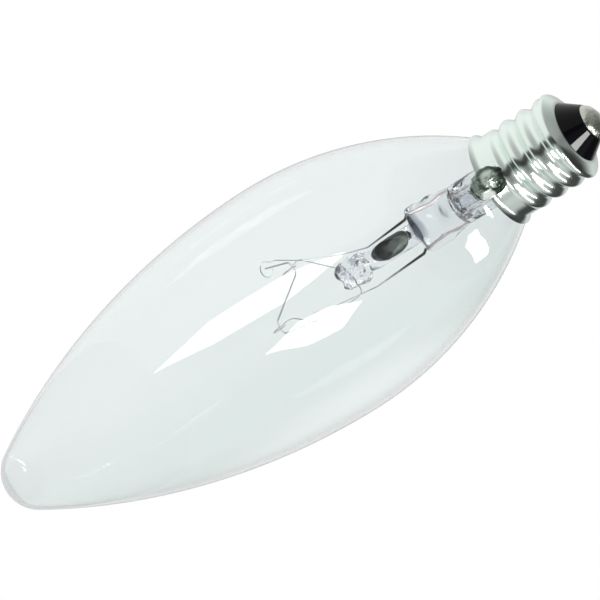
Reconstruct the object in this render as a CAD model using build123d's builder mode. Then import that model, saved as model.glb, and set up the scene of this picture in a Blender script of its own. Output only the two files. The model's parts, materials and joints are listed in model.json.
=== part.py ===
from build123d import *
from math import acos, atan2, ceil, copysign, cos, degrees, radians, sin, tan
import os

# A clear torpedo lamp with a candelabra screw cap, hanging cap up, in millimetres.
# Z is the axis of the lamp, and the origin is the tip of its centre contact.
# The two leads leave the press along X, and the side solder is on the -Y side.

# Blown envelope
BULB_DIAMETER = 32.0
TIP_TO_WIDEST = 49.8
TIP_RADIUS = 5.0
SHOULDER_ANGLE = 35.5
ROLL_RADIUS = 5.0
NECK_ANGLE = 55.0
NECK_DEPTH = 4.2
GLASS_WALL = 0.6
GLASS_SIDES = 36
OUTSIDE_ERROR = 0.07
INSIDE_ERROR = 0.3

# Screw shell with its rolled knuckle thread
SHELL_LENGTH = 11.6
SHEET = 0.25
THREAD_DIAMETER = 11.6
THREAD_PITCH = 2.54
THREAD_DEPTH = 0.6
THREAD_SINK = 0.05
THREAD_FOOT = 1.02
CREST_FLAT = 0.7
THREAD_START = 1.375
THREAD_PHASE = 90.0
THREAD_TURNS = 4.0
BAND_STEP = 0.15
BAND_HEIGHT = 2.6
RIM_FLARE = 0.65
FLARE_HEIGHT = 1.0
COLLAR_STEP = 0.08
COLLAR_HEIGHT = 1.3
COLLAR_ROUND = 1.2
LIP_WIDTH = 1.7
LIP_DEPTH = 1.2

# Insulator and centre contact
INSULATOR_RISE = 2.4
INSULATOR_DEPTH = 2.2
NOSE_RADIUS = 2.5
PLATE_RADIUS = 1.6
PLATE_THICKNESS = 0.3
EYELET_RADIUS = 0.6
EYELET_LENGTH = 1.5
CONTACT_RADIUS = 2.3
CONTACT_HEIGHT = 1.4
NOSE_SIDES = 32
DOME_SIDES = 20
DOME_ERROR = 0.05

# Fit of the cap on the glass
CEMENT_GAP = 0.45
RIM_GAP = 0.55
WIRE_CLEARANCE = 0.035

# Side solder
SOLDER_RADIUS = 2.3
SOLDER_THICKNESS = 1.15
SOLDER_ANGLE = 266.0
SOLDER_RISE = 0.9

# Glass stem
STEM_REACH = 12.8
TUBE_DIAMETER = 5.4
STEM_WALL = 0.65
TRUMPET_HEIGHT = 1.3
TRUMPET_WIDTH = 1.0
PRESS_WIDTH = 6.2
PRESS_THICKNESS = 3.0
PRESS_LENGTH = 4.0
PRESS_TAPER = 2.0
PRESS_SQUARENESS = 0.45
PRESS_SIDES = 16
EXHAUST_DIAMETER = 2.4
EXHAUST_BORE = 1.4
EXHAUST_TIP_GAP = 2.0
CHANNEL_DIAMETER = 0.9

# Arbor with its button and exhaust mouth
ARBOR_DIAMETER = 2.8
ARBOR_LENGTH = 12.4
BUTTON_DIAMETER = 4.0
BUTTON_LENGTH = 5.0
MOUTH_RADIUS = 1.15
MOUTH_TAIL_RADIUS = 0.45
MOUTH_LENGTH = 5.4
MOUTH_SHIFT = 0.75
MOUTH_DROP = 1.2
MOUTH_SIDES = 14

# Wires, drawn with a few flat sides
WIRE_SIDES = 6
LEAD_SPACING = 4.6
TUBE_SPACING = 3.3
INNER_LEAD = 0.45
SEAL_WIRE = 0.35
OUTER_LEAD = 0.25
SUPPORT_WIRE = 0.22
SEAL_PROUD = 0.8
LEAD_PROUD = 0.3
STRAIGHT_END = 0.8
INNER_BEND = 1.5
OUTER_BEND = 0.4
HOOK_CLEARANCE = 0.06
HOOK_RISE = 0.6
HOOK_APPROACH = 1.2

# Ways of the bent wires, each point with its drop below the press
UPPER_SUPPORT_WAY = ((-0.1, 0.1, 10.4),)
LOWER_SUPPORT_WAY = ((0.2, 0.0, 10.3), (2.2, -0.4, 11.3), (2.6, -2.5, 16.3))
SIDE_LEAD_WAY = ((-1.25, 2.1, 7.4), (-2.2, 1.8, 11.2), (-4.6, 0.9, 15.7))
CENTRE_LEAD_WAY = ((3.5, 0.3, 8.8),)

# Filament, a coil strung in one level plane over four points
COIL_DIAMETER = 0.32
FILAMENT_DROP = 19.3
COIL_TAIL = 0.7
SIDE_CLAMP = (-6.1, -1.2)
UPPER_TURN = (-4.6, 5.6)
LOWER_TURN = (1.1, -7.8)
CENTRE_CLAMP = (2.6, 3.2)

# Heights along the axis
cap_height = SHELL_LENGTH + INSULATOR_RISE + CONTACT_HEIGHT
rim_z = -cap_height
shell_end_z = rim_z + SHELL_LENGTH
nose_z = shell_end_z + INSULATOR_RISE
insulator_z = shell_end_z - INSULATOR_DEPTH
step_z = rim_z + BAND_HEIGHT - SHEET
neck_end_z = rim_z + NECK_DEPTH
press_end_z = rim_z - STEM_REACH
press_top_z = press_end_z + PRESS_LENGTH
tube_end_z = press_top_z + PRESS_TAPER
exhaust_tip_z = insulator_z - EXHAUST_TIP_GAP
button_z = press_end_z - ARBOR_LENGTH + BUTTON_LENGTH / 2
filament_z = press_end_z - FILAMENT_DROP

# Radii of the cap and of the glass inside it
crest = THREAD_DIAMETER / 2
valley = crest - THREAD_DEPTH
core = valley + THREAD_SINK
bore = core - SHEET
band = crest - BAND_STEP
rim = band + RIM_FLARE
collar = crest + COLLAR_STEP
lip = crest - LIP_WIDTH
neck = bore - CEMENT_GAP
glass_at_rim = rim - SHEET - RIM_GAP

# Arcs of the glass outline, each tangent to the next
widest = BULB_DIAMETER / 2
tip_rise = TIP_TO_WIDEST - TIP_RADIUS
side_radius = (widest**2 - TIP_RADIUS**2 + tip_rise**2) / (2 * (widest - TIP_RADIUS))
tip_angle = degrees(atan2(tip_rise, side_radius - widest))
shoulder = radians(SHOULDER_ANGLE)
roll = radians(NECK_ANGLE)
roll_in = ROLL_RADIUS * (cos(shoulder) - cos(roll))
shoulder_radius = (widest - glass_at_rim - roll_in) / (1 - cos(shoulder))
roll_x = widest - shoulder_radius + (shoulder_radius - ROLL_RADIUS) * cos(shoulder)
roll_z = rim_z - ROLL_RADIUS * sin(roll)
widest_z = roll_z - (shoulder_radius - ROLL_RADIUS) * sin(shoulder)
tip_z = widest_z - TIP_TO_WIDEST
cove_radius = (glass_at_rim - neck) / (1 - cos(roll))
cove_z = rim_z + cove_radius * sin(roll)

os.makedirs("parts", exist_ok=True)


def save(builder, name):
    """Label a finished piece and write its file."""
    builder.part.label = name
    export_step(builder.part, f"parts/{name}.step")


def arc_points(x, z, radius, start, size, error):
    """Points along an arc of a half section after its start, its chords no further than the error from it."""
    count = ceil(radians(abs(size)) / (2 * acos(1 - error / radius)))
    angles = [radians(start + size * i / count) for i in range(1, count + 1)]
    return [(x + radius * cos(angle), z + radius * sin(angle)) for angle in angles]


def turned(outline, sides, base=Plane.XY):
    """Turned solid in flat facets, through a many sided ring for each point of its half section."""
    rings = []
    for radius, height in outline:
        angles = [radians(360 * i / sides) for i in range(sides if radius else 1)]
        points = [(radius * cos(angle), radius * sin(angle), height) for angle in angles]
        rings.append([base.from_local_coords(point) for point in points])
    facets = []
    for low, high in zip(rings, rings[1:]):
        for i in range(sides):
            corners = [low[i % len(low)]]
            if len(low) > 1:
                corners.append(low[(i + 1) % sides])
            if len(high) > 1:
                corners.append(high[(i + 1) % sides])
            corners.append(high[i % len(high)])
            facets.append(Face(Wire.make_polygon(corners)))
    for ring in (rings[0], rings[-1]):
        if len(ring) > 1:
            facets.append(Face(Wire.make_polygon(ring)))
    return Solid(Shell(facets))


def glass_outline(inset, error):
    """Half section of the blown glass from tip to neck end, set in by a wall."""
    outline = [(0, tip_z + inset)]
    for x, z, radius, start, size in (
        (0, tip_z + TIP_RADIUS, TIP_RADIUS - inset, -90, 90 - tip_angle),
        (widest - side_radius, widest_z, side_radius - inset, -tip_angle, tip_angle),
        (widest - shoulder_radius, widest_z, shoulder_radius - inset, 0, SHOULDER_ANGLE),
        (roll_x, roll_z, ROLL_RADIUS - inset, SHOULDER_ANGLE, NECK_ANGLE - SHOULDER_ANGLE),
        (neck + cove_radius, cove_z, cove_radius + inset, 180 + NECK_ANGLE, -NECK_ANGLE),
    ):
        outline += arc_points(x, z, radius, start, size, error)
    return outline + [(neck - inset, neck_end_z)]


def rim_section():
    """Half section of the flared rim and the plain band, filled to the axis."""
    with BuildSketch(Plane.XZ) as section:
        with BuildLine():
            Polyline(
                (rim, rim_z),
                (band, rim_z + FLARE_HEIGHT),
                (band, rim_z + BAND_HEIGHT),
                (0, rim_z + BAND_HEIGHT),
                (0, rim_z),
                close=True,
            )
        make_face()
    return section.sketch


def end_section():
    """Half section of the room the cap may fill, with a bevelled end."""
    with BuildSketch(Plane.XZ) as section:
        with BuildLine():
            Polyline(
                (collar, shell_end_z - COLLAR_ROUND),
                (collar - COLLAR_ROUND, shell_end_z),
                (0, shell_end_z),
                (0, rim_z - SHEET),
                (rim + SHEET, rim_z - SHEET),
                (rim + SHEET, rim_z + BAND_HEIGHT),
                (collar, rim_z + BAND_HEIGHT),
                close=True,
            )
        make_face()
    return section.sketch


def cap_cavity():
    """Half section of the cap's inside, through the turned in lip."""
    with BuildSketch(Plane.XZ) as section:
        with BuildLine():
            Polyline(
                (rim - SHEET, rim_z),
                (band - SHEET, rim_z + FLARE_HEIGHT),
                (band - SHEET, step_z),
                (bore, step_z),
                (bore, shell_end_z - LIP_DEPTH),
                (lip, shell_end_z - LIP_DEPTH),
                (lip, shell_end_z),
                (0, shell_end_z),
                (0, rim_z),
                close=True,
            )
        make_face()
    return section.sketch


def thread_section():
    """One ridge of the thread, its foot in the core."""
    middle = rim_z + THREAD_START
    foot = core - THREAD_SINK
    with BuildSketch(Plane.XZ) as section:
        with BuildLine():
            Polyline(
                (bore, middle - THREAD_FOOT),
                (foot, middle - THREAD_FOOT),
                (crest, middle - CREST_FLAT / 2),
                (crest, middle + CREST_FLAT / 2),
                (foot, middle + THREAD_FOOT),
                (bore, middle + THREAD_FOOT),
                close=True,
            )
        make_face()
    return section.sketch


def press_section(width, thickness, squareness, z):
    """Outline of the stem between a round and a flat with soft corners, in straight sides."""
    points = []
    for i in range(PRESS_SIDES):
        angle = radians(360 * (i + 0.5) / PRESS_SIDES)
        across = copysign(abs(cos(angle)) ** squareness, cos(angle))
        deep = copysign(abs(sin(angle)) ** squareness, sin(angle))
        points.append((width / 2 * across, thickness / 2 * deep))
    with BuildSketch(Plane.XY.offset(z)) as section:
        with BuildLine():
            Polyline(*points, close=True)
        make_face()
    return section.sketch


def wire_section(path, diameter):
    """Outline of a wire, square to the start of its path."""
    with BuildSketch(Plane(origin=path @ 0, z_dir=path % 0)) as section:
        RegularPolygon(diameter / 2, WIRE_SIDES)
    return section.sketch


def wire_path(route, bends):
    """Straight runs through the route's points, each bend turned in two chords."""
    corners = [route[0]]
    for before, corner, after, radius in zip(route, route[1:], route[2:], bends):
        back = (before - corner).normalized()
        onward = (after - corner).normalized()
        half = radians(back.get_angle(onward) / 2)
        inward = (back + onward).normalized()
        corners.append(corner + back * (radius / tan(half)))
        corners.append(corner + inward * (radius / sin(half) - radius))
        corners.append(corner + onward * (radius / tan(half)))
    corners.append(route[-1])
    with BuildLine() as path:
        Polyline(*corners)
    return path.line


def seal_line(side):
    """Lower end, upper end and upward direction of a seal wire in the press, on the side -1 or 1."""
    low = Vector(side * LEAD_SPACING / 2, 0, press_end_z)
    high = Vector(side * TUBE_SPACING / 2, 0, tube_end_z)
    return low, high, (high - low).normalized()


def level(point, z):
    """Point of the level plane, lifted to a height."""
    return Vector(point[0], point[1], z)


def below_press(way):
    """Points of a wire's way, by their drops below the press."""
    return [Vector(x, y, press_end_z - drop) for x, y, drop in way]


def strand_turn(before, corner, after, radius):
    """Centre of the bend of a strand round a hook, and the direction away from its two runs."""
    corner = level(corner, filament_z)
    first = (level(before, filament_z) - corner).normalized()
    second = (level(after, filament_z) - corner).normalized()
    inward = (first + second).normalized()
    reach = radius / sin(radians(first.get_angle(second) / 2))
    return corner + inward * reach, inward * -1


# Blown envelope
with BuildPart() as glass_body:
    add(turned(glass_outline(0, OUTSIDE_ERROR), GLASS_SIDES))

with BuildPart() as glass_envelope:
    add(glass_body.part)
    add(turned(glass_outline(GLASS_WALL, INSIDE_ERROR), GLASS_SIDES), mode=Mode.SUBTRACT)
save(glass_envelope, "glass_envelope")

# Rolled knuckle thread
with BuildLine() as thread_path:
    Helix(THREAD_PITCH, THREAD_PITCH * THREAD_TURNS, crest, center=(0, 0, rim_z + THREAD_START))

with BuildPart() as thread:
    sweep(thread_section(), path=thread_path.line, is_frenet=True)

# Screw shell
upward = (Align.CENTER, Align.CENTER, Align.MIN)
with BuildPart() as cap_body:
    with Locations((0, 0, rim_z)):
        Cylinder(core, SHELL_LENGTH + COLLAR_HEIGHT, align=upward)
    add(thread.part, rotation=(0, 0, THREAD_PHASE))
    revolve(rim_section(), axis=Axis.Z)
    with Locations((0, 0, shell_end_z - COLLAR_HEIGHT)):
        Cylinder(rim, THREAD_PITCH, align=upward)
    revolve(end_section(), axis=Axis.Z, mode=Mode.INTERSECT)

with BuildPart() as screw_shell:
    add(cap_body.part)
    revolve(cap_cavity(), axis=Axis.Z, mode=Mode.SUBTRACT)
save(screw_shell, "screw_shell")

# Black glass insulator, held under the lip, with a conical nose
with BuildPart() as insulator:
    with BuildSketch(Plane.XY.offset(insulator_z)):
        Circle(bore)
    extrude(amount=INSULATOR_DEPTH - LIP_DEPTH)
    with BuildSketch(Plane.XY.offset(shell_end_z - LIP_DEPTH)):
        Circle(lip)
    extrude(amount=LIP_DEPTH)
    add(turned([(lip, shell_end_z), (NOSE_RADIUS, nose_z)], NOSE_SIDES))
    with Locations((0, 0, nose_z)):
        CounterBoreHole(EYELET_RADIUS, PLATE_RADIUS, PLATE_THICKNESS)
save(insulator, "insulator")

# Brass contact plate with its eyelet
with BuildPart() as contact_plate:
    with BuildSketch(Plane.XY.offset(nose_z)):
        Circle(PLATE_RADIUS)
    extrude(amount=-PLATE_THICKNESS)
    with BuildSketch(Plane.XY.offset(nose_z - PLATE_THICKNESS)):
        Circle(EYELET_RADIUS)
    extrude(amount=-EYELET_LENGTH)
    Hole(OUTER_LEAD / 2 + WIRE_CLEARANCE)
save(contact_plate, "contact_plate")

# Solder dome on the contact plate
dome_radius = (CONTACT_RADIUS**2 + CONTACT_HEIGHT**2) / (2 * CONTACT_HEIGHT)
dome_start = degrees(atan2(dome_radius - CONTACT_HEIGHT, CONTACT_RADIUS))
with BuildPart() as centre_solder:
    dome = [(CONTACT_RADIUS, nose_z)]
    dome += arc_points(0, -dome_radius, dome_radius, dome_start, 90 - dome_start, DOME_ERROR)
    add(turned(dome[:-1] + [(0, 0)], DOME_SIDES))
save(centre_solder, "centre_solder")

# Seal wires through the glass press
seal_wires = {}
for name, side in (("seal_wire_side", -1), ("seal_wire_centre", 1)):
    low, high, up = seal_line(side)
    with BuildPart() as seal_wire:
        with BuildSketch(Plane(origin=low - up * LEAD_PROUD, z_dir=up)):
            RegularPolygon(SEAL_WIRE / 2, WIRE_SIDES)
        extrude(amount=(high - low).length + LEAD_PROUD + SEAL_PROUD)
    seal_wires[name] = seal_wire.part
    save(seal_wire, name)

# Stem: trumpet on the end of the neck, tube, and press flattened round the wires
with BuildPart() as stem_flare:
    tube = TUBE_DIAMETER / 2
    flange_z = neck_end_z + STEM_WALL
    trumpet_z = neck_end_z - TRUMPET_HEIGHT
    with BuildSketch(Plane.XZ):
        with BuildLine():
            Polyline(
                (tube - STEM_WALL, tube_end_z),
                (tube, tube_end_z),
                (tube, trumpet_z),
                (tube + TRUMPET_WIDTH, neck_end_z),
                (neck, neck_end_z),
                (neck, flange_z),
                (tube - STEM_WALL, flange_z),
                close=True,
            )
        make_face()
    revolve(axis=Axis.Z)
    press = press_section(PRESS_WIDTH, PRESS_THICKNESS, PRESS_SQUARENESS, press_top_z)
    loft([press, press_section(TUBE_DIAMETER, TUBE_DIAMETER, 1, tube_end_z)], ruled=True)
    extrude(press, amount=-PRESS_LENGTH)
    with Locations((0, 0, press_end_z)):
        Cylinder(
            CHANNEL_DIAMETER / 2,
            PRESS_LENGTH + PRESS_TAPER,
            align=upward,
            mode=Mode.SUBTRACT,
        )
    for wire in seal_wires.values():
        add(wire, mode=Mode.SUBTRACT)
save(stem_flare, "stem_flare")

# Exhaust tube, melted shut inside the cap
with BuildPart() as exhaust_tube:
    outside = EXHAUST_DIAMETER / 2
    inside = EXHAUST_BORE / 2
    seal_z = exhaust_tip_z - EXHAUST_DIAMETER
    with BuildSketch(Plane.XY.offset(tube_end_z)):
        Circle(outside)
    extrude(amount=seal_z - tube_end_z)
    add(turned([(outside, seal_z), (0.8 * outside, seal_z + outside), (0, exhaust_tip_z)], MOUTH_SIDES))
    with Locations((0, 0, tube_end_z)):
        Cylinder(inside, seal_z - tube_end_z, align=upward, mode=Mode.SUBTRACT)
save(exhaust_tube, "exhaust_tube")

# Filament, as a strand of the coil's outer diameter
bend = SUPPORT_WIRE / 2 + COIL_DIAMETER / 2 + HOOK_CLEARANCE
side_run = (level(UPPER_TURN, filament_z) - level(SIDE_CLAMP, filament_z)).normalized()
centre_run = (level(LOWER_TURN, filament_z) - level(CENTRE_CLAMP, filament_z)).normalized()
filament_path = wire_path(
    [
        level(SIDE_CLAMP, filament_z) - side_run * COIL_TAIL,
        level(UPPER_TURN, filament_z),
        level(LOWER_TURN, filament_z),
        level(CENTRE_CLAMP, filament_z) - centre_run * COIL_TAIL,
    ],
    [bend, bend],
)
with BuildPart() as filament:
    sweep(wire_section(filament_path, COIL_DIAMETER), path=filament_path, transition=Transition.RIGHT)
save(filament, "filament")

# Support wires, from the button to a hook round each turn of the filament
hook_gap = SUPPORT_WIRE / 2 + HOOK_CLEARANCE
hook_width = bend + COIL_DIAMETER / 2 + hook_gap
supports = {}
for name, before, turn, after, way in (
    ("support_hook_upper", SIDE_CLAMP, UPPER_TURN, LOWER_TURN, UPPER_SUPPORT_WAY),
    ("support_hook_lower", UPPER_TURN, LOWER_TURN, CENTRE_CLAMP, LOWER_SUPPORT_WAY),
):
    centre, outward = strand_turn(before, turn, after, bend)
    drop = COIL_DIAMETER / 2 + hook_gap + hook_width / 2
    points = below_press(way) + [
        centre + Vector(0, 0, HOOK_APPROACH),
        centre - Vector(0, 0, drop),
        centre + outward * hook_width - Vector(0, 0, drop),
        centre + outward * hook_width + Vector(0, 0, HOOK_RISE),
    ]
    path = wire_path(points, [0.45 * hook_width] * (len(points) - 2))
    with BuildPart() as support:
        sweep(wire_section(path, SUPPORT_WIRE), path=path, transition=Transition.RIGHT)
    supports[name] = support.part
    save(support, name)

# Arbor rod with its button, and the mouth through which the bulb was pumped
with BuildPart() as arbor_rod:
    button = BUTTON_DIAMETER / 2
    shank = BUTTON_LENGTH - BUTTON_DIAMETER
    low_z = button_z - shank / 2
    high_z = button_z + shank / 2
    ball = [(0, low_z - button)] + arc_points(0, low_z, button, -90, 90, DOME_ERROR)
    ball += [(button, high_z)] + arc_points(0, high_z, button, 0, 90, DOME_ERROR)[:-1]
    add(turned(ball + [(0, high_z + button)], DOME_SIDES))
    with Locations((0, 0, button_z)):
        Cylinder(ARBOR_DIAMETER / 2, press_end_z - button_z, align=upward)
    tail_z = press_end_z - MOUTH_DROP
    mouth_z = tail_z - MOUTH_LENGTH + MOUTH_RADIUS
    mouth = [(0, mouth_z - MOUTH_RADIUS)] + arc_points(0, mouth_z, MOUTH_RADIUS, -90, 90, DOME_ERROR)
    mouth_axis = Plane((0, -MOUTH_SHIFT, 0))
    add(turned(mouth + [(MOUTH_TAIL_RADIUS, tail_z)], MOUTH_SIDES, mouth_axis), mode=Mode.SUBTRACT)
    with Locations((0, 0, tail_z - MOUTH_RADIUS)):
        Cylinder(
            CHANNEL_DIAMETER / 2,
            MOUTH_DROP + MOUTH_RADIUS,
            align=upward,
            mode=Mode.SUBTRACT,
        )
    for wire in supports.values():
        add(wire, mode=Mode.SUBTRACT)
save(arbor_rod, "arbor_rod")

# Inner leads, from the press to a clamp round each end of the filament
clamp = INNER_LEAD / 2 + COIL_DIAMETER / 2 + HOOK_CLEARANCE
for name, side, end, run, way in (
    ("inner_lead_side", -1, SIDE_CLAMP, side_run, SIDE_LEAD_WAY),
    ("inner_lead_centre", 1, CENTRE_CLAMP, centre_run, CENTRE_LEAD_WAY),
):
    low, high, up = seal_line(side)
    start = low - up * LEAD_PROUD
    across = run.rotate(Axis.Z, 90 * -side)
    centre = level(end, filament_z)
    points = [start, start - up * STRAIGHT_END] + below_press(way) + [
        centre + across * clamp + Vector(0, 0, HOOK_APPROACH),
        centre + across * clamp - Vector(0, 0, clamp),
        centre - across * clamp - Vector(0, 0, clamp),
        centre - across * clamp + Vector(0, 0, HOOK_RISE),
    ]
    bends = [INNER_BEND] * (len(points) - 5) + [0.8, 0.9 * clamp, 0.9 * clamp]
    path = wire_path(points, bends)
    with BuildPart() as inner_lead:
        sweep(wire_section(path, INNER_LEAD), path=path, transition=Transition.RIGHT)
    save(inner_lead, name)

# Copper leads, one up the axis to the contact plate and one over the neck and out under the rim
away = Vector(1, 0, 0).rotate(Axis.Z, SOLDER_ANGLE)
hug = OUTER_LEAD / 2 + WIRE_CLEARANCE
over_z = neck_end_z + STEM_WALL + 3 * OUTER_LEAD
corner_z = rim_z + (glass_at_rim - neck) / tan(roll) + hug * tan(roll / 2)
under = rim + 2 * hug
under_z = corner_z - (under - neck - hug) / tan(roll)
outer_leads = {}
for name, side, route, last_bends in (
    (
        "outer_lead_side",
        -1,
        [
            Vector(-TUBE_SPACING / 2, 0, over_z),
            away * (neck + hug) + Vector(0, 0, over_z),
            away * (neck + hug) + Vector(0, 0, corner_z),
            away * under + Vector(0, 0, under_z),
            away * (under + hug) + Vector(0, 0, rim_z + SOLDER_RISE / 2),
        ],
        [OUTER_BEND, cove_radius - hug, 1.4 * OUTER_LEAD / 2],
    ),
    (
        "outer_lead_centre",
        1,
        [
            Vector(TUBE_SPACING / 2, 0, exhaust_tip_z - 0.3 * EXHAUST_TIP_GAP),
            Vector(0, 0, insulator_z - 0.4 * EXHAUST_TIP_GAP),
            Vector(0, 0, nose_z),
        ],
        [OUTER_BEND],
    ),
):
    low, high, up = seal_line(side)
    start = high + up * SEAL_PROUD
    points = [start, start + up * STRAIGHT_END] + route
    path = wire_path(points, [OUTER_BEND, OUTER_BEND] + last_bends)
    with BuildPart() as outer_lead:
        sweep(wire_section(path, OUTER_LEAD), path=path, transition=Transition.RIGHT)
    outer_leads[name] = outer_lead.part
    save(outer_lead, name)

# Cement ring between the neck and the plain band of the shell
with BuildPart() as basing_cement:
    with BuildSketch(Plane.XY.offset(rim_z + FLARE_HEIGHT)):
        Circle(band - SHEET)
    extrude(amount=step_z - rim_z - FLARE_HEIGHT)
    add(glass_body.part, mode=Mode.SUBTRACT)
    add(outer_leads["outer_lead_side"], mode=Mode.SUBTRACT)
save(basing_cement, "basing_cement")

# Solder blob over the rim, where the side lead comes out
with BuildPart() as side_solder:
    ball = (SOLDER_RADIUS**2 + SOLDER_THICKNESS**2) / (2 * SOLDER_THICKNESS)
    centre = away * (band + SOLDER_THICKNESS - ball) + Vector(0, 0, rim_z + SOLDER_RISE)
    blob = [(ball, 0)] + arc_points(0, 0, ball, 0, 90, DOME_ERROR)[:-1] + [(0, ball)]
    add(turned(blob, DOME_SIDES, Plane(centre, z_dir=away)))
    add(cap_body.part, mode=Mode.SUBTRACT)
    add(glass_body.part, mode=Mode.SUBTRACT)
    add(outer_leads["outer_lead_side"], mode=Mode.SUBTRACT)
save(side_solder, "side_solder")
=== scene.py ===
import json
import math

import bpy
from mathutils import Matrix, Vector, noise


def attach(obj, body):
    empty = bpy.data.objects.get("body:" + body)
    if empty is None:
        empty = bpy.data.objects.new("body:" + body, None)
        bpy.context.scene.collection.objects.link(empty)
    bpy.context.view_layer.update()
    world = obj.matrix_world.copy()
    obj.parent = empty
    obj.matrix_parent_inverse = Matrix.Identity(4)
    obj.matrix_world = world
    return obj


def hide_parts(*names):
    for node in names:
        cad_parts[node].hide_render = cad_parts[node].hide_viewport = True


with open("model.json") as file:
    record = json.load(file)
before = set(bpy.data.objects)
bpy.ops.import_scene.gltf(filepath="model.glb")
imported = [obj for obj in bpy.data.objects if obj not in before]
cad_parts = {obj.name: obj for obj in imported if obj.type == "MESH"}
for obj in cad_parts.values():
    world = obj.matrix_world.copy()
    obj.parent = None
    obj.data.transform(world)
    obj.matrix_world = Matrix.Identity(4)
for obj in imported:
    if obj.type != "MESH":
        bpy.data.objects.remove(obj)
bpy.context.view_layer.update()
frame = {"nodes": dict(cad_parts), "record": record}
nodes = frame["nodes"]
scene = bpy.context.scene

# Sizes and places are in millimetres, angles in radians, and MM takes a length to metres
MM = 0.001
UP = Vector((0, 0, 1))
NOISE_SEED = 5
noise.seed_set(NOISE_SEED)

# Cap, with the tip of its contact at the origin and the glass below it
RIM_Z = -15.4
SHELL_END_Z = -3.8
NOSE_Z = -1.4
INSULATOR_Z = -6.0
BAND_HEIGHT = 2.6
RIM_RADIUS = 6.3
BAND_RADIUS = 5.65
FLARE_HEIGHT = 1.0
CREST = 5.8
VALLEY = 5.2
PITCH = 2.54
THREAD_START = 1.375
THREAD_PHASE = 0.25
COLLAR_RADIUS = 5.88
COLLAR_ROUND = 0.6
COLLAR_TOP_Z = -4.4
COLLAR_HEIGHT = 0.7
BORE = 5.0
LIP = 4.1
LIP_DEPTH = 1.2
SHEET = 0.25
NOSE_RADIUS = 2.5
PLATE_RADIUS = 1.6
PLATE_THICKNESS = 0.3
EYELET_RADIUS = 0.6
CONTACT_RADIUS = 2.3
CONTACT_HEIGHT = 1.4
SOLDER_AZIMUTH = math.radians(266)

# Blown glass
NECK = 4.55
NECK_END_Z = -11.2
GLASS_WALL = 0.4
WIDEST = 16.0
TIP_TO_WIDEST = 49.8
TIP_RADIUS = 5.0
SHOULDER = math.radians(35.5)
ROLL = math.radians(55.0)
ROLL_RADIUS = 5.0
GLASS_AT_RIM = 5.5

# Stem, arbor and exhaust mouth
PRESS_END_Z = -28.2
PRESS_TOP_Z = -24.2
TUBE_END_Z = -22.2
PRESS_WIDTH = 6.2
PRESS_THICKNESS = 3.0
TUBE_RADIUS = 2.7
STEM_WALL = 0.4
TRUMPET_HEIGHT = 1.3
TRUMPET_WIDTH = 1.0
ARBOR_RADIUS = 1.4
ROD_LENGTH = 8.0
BUTTON_Z = -38.1
BUTTON_RADIUS = 2.0
BUTTON_SHANK = 1.0
MOUTH_Z = -33.1
MOUTH_TAIL_Z = -29.0
MOUTH_RADIUS = 1.15
MOUTH_TAIL_RADIUS = 0.45
MOUTH_SHIFT = 0.75
MOUTH_SIDE = -0.2

# Wires, with each way as x, y and the drop below the press
LEAD_SPACING = 4.6
TUBE_SPACING = 3.3
LEAD_DIAMETER = 0.38
SUPPORT_DIAMETER = 0.17
SIDE_LEAD_WAY = ((-1.25, 2.1, 7.4), (-2.2, 1.8, 11.2), (-4.6, 0.9, 15.7))
CENTRE_LEAD_WAY = ((3.5, 0.3, 8.8),)
UPPER_SUPPORT_WAY = ((-0.1, 0.1, 10.4),)
LOWER_SUPPORT_WAY = ((0.2, 0.0, 10.3), (2.2, -0.4, 11.3), (2.6, -2.5, 16.3))
FILAMENT_Z = -47.5
SIDE_CLAMP = Vector((-6.1, -1.2, FILAMENT_Z))
UPPER_TURN = Vector((-4.6, 5.6, FILAMENT_Z))
LOWER_TURN = Vector((1.1, -7.8, FILAMENT_Z))
CENTRE_CLAMP = Vector((2.6, 3.2, FILAMENT_Z))
COIL_DIAMETER = 0.25
COIL_WIRE = 0.045
COIL_PITCH = 0.13
COIL_TAIL = 0.7

# Points round each kind of turned piece, and the radius of the small face that closes a round end
GLASS_STEPS = 144
CAP_STEPS = 216
STEM_STEPS = 72
SMALL_STEPS = 64
MOUTH_STEPS = 48
PLAIN_STEPS = 96
POLE = 0.02


# Meshes
def add_object(name, mesh):
    """Object with smooth shading from a mesh."""
    mesh.shade_smooth()
    obj = bpy.data.objects.new(name, mesh)
    scene.collection.objects.link(obj)
    return obj


def mesh_object(name, points, faces):
    """Object from points in millimetres and their faces."""
    mesh = bpy.data.meshes.new(name)
    mesh.from_pydata([Vector(p) * MM for p in points], [], faces)
    mesh.validate()
    mesh.update()
    return add_object(name, mesh)


def finished_mesh(obj):
    """Mesh of an object with its modifiers or its bevel worked out."""
    bpy.context.view_layer.update()
    return bpy.data.meshes.new_from_object(obj.evaluated_get(bpy.context.evaluated_depsgraph_get()))


def skin(name, rows, closed=True):
    """Skin through rows of points, each a full turn.

    Closed, the last row joins the first. Open, each end gets a face.
    """
    steps = len(rows[0])
    points = [p for row in rows for p in row]
    faces = []
    for i in range(len(rows) if closed else len(rows) - 1):
        after = (i + 1) % len(rows)
        for k in range(steps):
            near = (k + 1) % steps
            faces.append((i * steps + k, i * steps + near, after * steps + near, after * steps + k))
    if not closed:
        faces.append(tuple(reversed(range(steps))))
        faces.append(tuple(range(len(points) - steps, len(points))))
    return mesh_object(name, points, faces)


def turn(radius, z, steps, x=0.0, y=0.0):
    """Row of points round an upright axis."""
    angles = [math.tau * k / steps for k in range(steps)]
    return [(x + radius * math.cos(a), y + radius * math.sin(a), z) for a in angles]


def lathe(name, outline, steps, closed=True):
    """Piece turned from a half section of radii and heights."""
    return skin(name, [turn(r, z, steps) for r, z in outline], closed)


def arc(x, z, radius, start, end, steps):
    """Points along an arc of a half section, without its first point."""
    angles = [start + (end - start) * i / steps for i in range(1, steps + 1)]
    return [(x + radius * math.cos(a), z + radius * math.sin(a)) for a in angles]


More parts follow.
